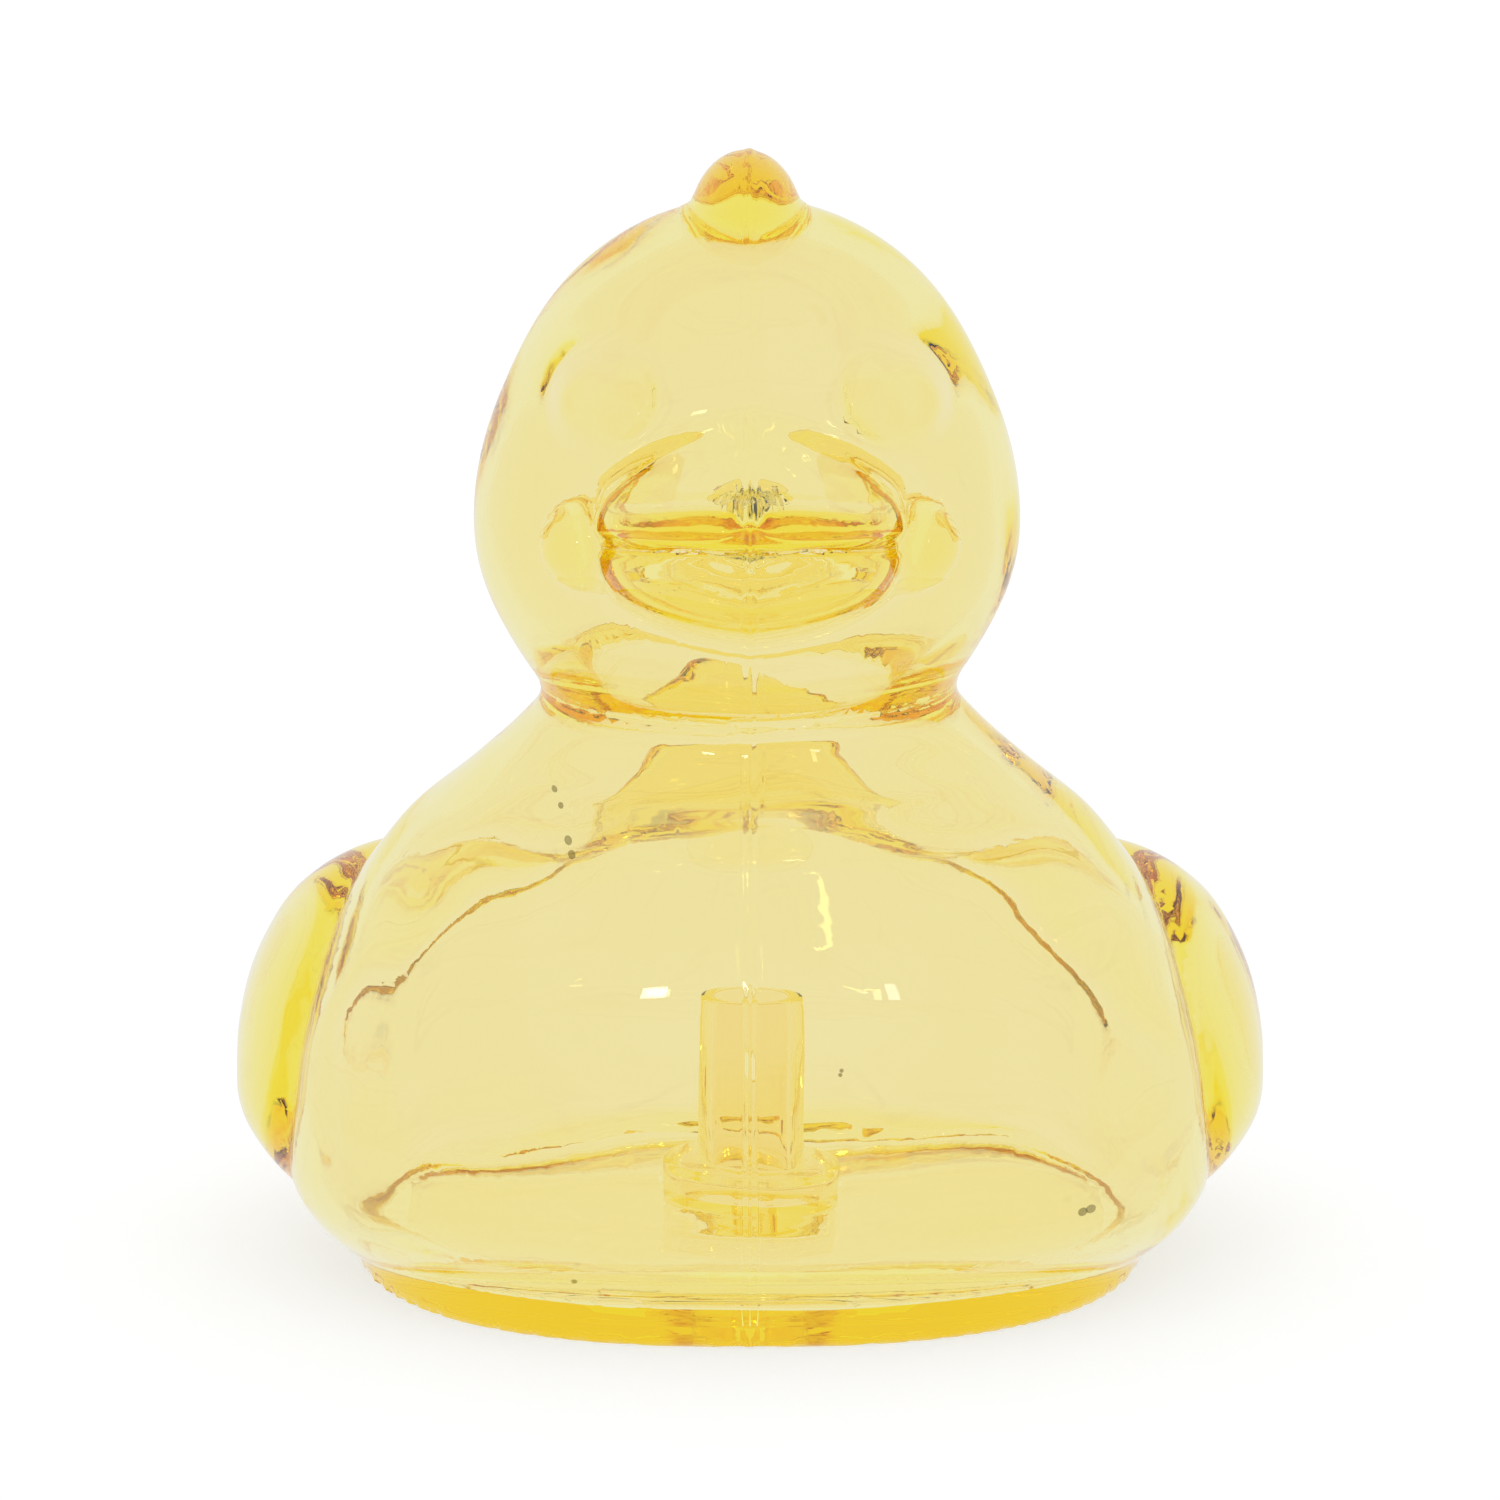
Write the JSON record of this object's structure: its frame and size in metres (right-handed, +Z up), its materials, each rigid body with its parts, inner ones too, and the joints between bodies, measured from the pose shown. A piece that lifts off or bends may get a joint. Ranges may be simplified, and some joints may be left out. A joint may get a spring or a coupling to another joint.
{
  "type": "rubber duck",
  "caption": "Hollow clear yellow vinyl bath duck with moulded eyes, bill, wings and tail, standing on a flat oval base that holds a squeaker.",
  "frame": {"origin": "middle of the duck's length and width, on the flat face it stands on", "axes": "+Z up, the duck faces -Y and its own left side is +X"},
  "size_m": [0.0758, 0.086, 0.085],
  "materials": {
    "clear_yellow_vinyl": "clear and glossy",
    "clear_yellow_plastic": "clear and smooth"
  },
  "bodies": {
    "root": {"duck_body": "clear_yellow_vinyl", "squeaker": "clear_yellow_plastic"}
  },
  "joints": []
}
